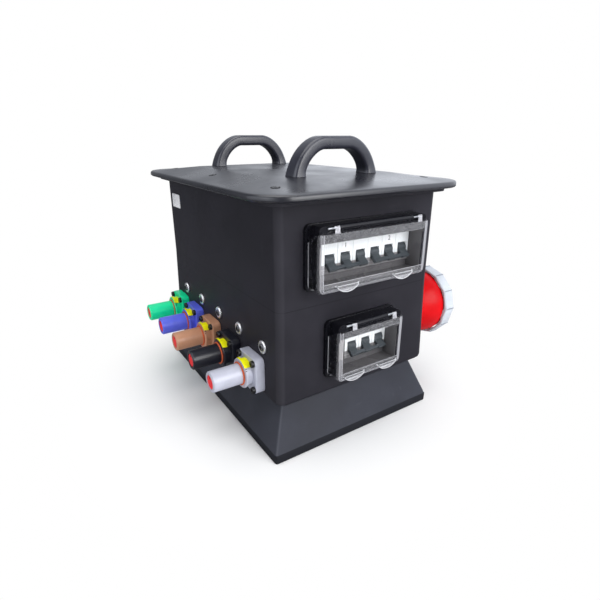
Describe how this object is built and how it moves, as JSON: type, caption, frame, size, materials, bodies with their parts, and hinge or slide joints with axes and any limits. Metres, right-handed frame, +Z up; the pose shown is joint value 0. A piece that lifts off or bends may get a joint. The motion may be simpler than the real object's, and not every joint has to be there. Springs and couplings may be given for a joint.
{
  "type": "power distribution box",
  "caption": "Stage power distribution box: a rubber enclosure with single-pole connectors, breakers behind hinged clear covers and a round locking inlet.",
  "frame": {"origin": "under the middle of the plinth, on its flat foot", "axes": "+Z up; the breaker face looks along -Y; the single-pole connectors point along -X and the round inlet along +X"},
  "size_m": [0.4403, 0.4857, 0.4494],
  "materials": {
    "body_rubber": "satin",
    "gasket_rubber": "matt",
    "lid_rubber": "satin",
    "handle_plastic": "satin",
    "frame_black": "gloss",
    "cover_clear": "clear gloss",
    "steel": "zinc plated",
    "blank_black": "matt",
    "breaker_white": "satin",
    "toggle_dark": "satin",
    "connector_grey": "satin",
    "connector_black": "satin",
    "connector_brown": "satin",
    "connector_blue": "satin",
    "connector_green": "satin",
    "seal_orange": "matt",
    "guard_red": "gloss",
    "inlet_red": "gloss",
    "carrier_black": "matt",
    "pin_nickel": "nickel plated",
    "ring_grey": "satin"
  },
  "bodies": {
    "enclosure": {"base_plinth": "body_rubber", "enclosure_body": "body_rubber", "lid_gasket": "gasket_rubber", "lid": "lid_rubber", "handle_front": "handle_plastic", "handle_rear": "handle_plastic", "window_frame_upper": "frame_black", "hinge_pin_upper": "steel", "blank_strip_upper": "blank_black", "din_rail_upper": "steel", "window_frame_lower": "frame_black", "hinge_pin_lower": "steel", "blank_strip_lower": "blank_black", "din_rail_lower": "steel", "breaker_1_body": "breaker_white", "breaker_2_body": "breaker_white", "breaker_3_body": "breaker_white", "connector_1_grey_housing": "connector_grey", "connector_1_grey_barrel": "connector_grey", "connector_1_grey_seal": "seal_orange", "connector_1_grey_guard": "guard_red", "wall_bolt_1": "steel", "connector_2_black_housing": "connector_black", "connector_2_black_barrel": "connector_black", "connector_2_black_seal": "seal_orange", "connector_2_black_guard": "guard_red", "wall_bolt_2": "steel", "connector_3_brown_housing": "connector_brown", "connector_3_brown_barrel": "connector_brown", "connector_3_brown_seal": "seal_orange", "connector_3_brown_guard": "guard_red", "wall_bolt_3": "steel", "connector_4_blue_housing": "connector_blue", "connector_4_blue_barrel": "connector_blue", "connector_4_blue_seal": "seal_orange", "connector_4_blue_guard": "guard_red", "wall_bolt_4": "steel", "connector_5_green_housing": "connector_green", "connector_5_green_barrel": "connector_green", "connector_5_green_seal": "seal_orange", "connector_5_green_guard": "guard_red", "wall_bolt_5": "steel", "inlet_housing": "inlet_red", "inlet_carrier": "carrier_black", "inlet_pin_1": "pin_nickel", "inlet_pin_2": "pin_nickel", "inlet_pin_3": "pin_nickel", "inlet_pin_4": "pin_nickel", "inlet_pin_5": "pin_nickel"},
    "cover_upper": {"window_cover_upper": "cover_clear"},
    "cover_lower": {"window_cover_lower": "cover_clear"},
    "toggles_1": {"breaker_1_toggles": "toggle_dark"},
    "toggles_2": {"breaker_2_toggles": "toggle_dark"},
    "toggles_3": {"breaker_3_toggles": "toggle_dark"},
    "lock_ring": {"inlet_lock_ring": "ring_grey"}
  },
  "joints": [
    {"name": "cover_upper_hinge", "type": "hinge", "parent": "enclosure", "child": "cover_upper", "pos_m": [-0.0025, -0.2355, 0.3418], "axis": [-1, 0, 0], "range_deg": [0, 105]},
    {"name": "cover_lower_hinge", "type": "hinge", "parent": "enclosure", "child": "cover_lower", "pos_m": [-0.0025, -0.23608, 0.2013], "axis": [-1, 0, 0], "range_deg": [0, 105]},
    {"name": "breaker_1_switch", "type": "hinge", "parent": "enclosure", "child": "toggles_1", "pos_m": [0, -0.2038, 0.292], "axis": [-1, 0, 0], "range_deg": [0, 76]},
    {"name": "breaker_2_switch", "type": "hinge", "parent": "enclosure", "child": "toggles_2", "pos_m": [0, -0.2038, 0.292], "axis": [-1, 0, 0], "range_deg": [0, 76]},
    {"name": "breaker_3_switch", "type": "hinge", "parent": "enclosure", "child": "toggles_3", "pos_m": [0, -0.20438, 0.1515], "axis": [-1, 0, 0], "range_deg": [0, 76]},
    {"name": "lock_ring_turn", "type": "hinge", "parent": "enclosure", "child": "lock_ring", "pos_m": [0.2014, -0.145, 0.161], "axis": [1, 0, 0], "range_deg": [0, 40]}
  ]
}
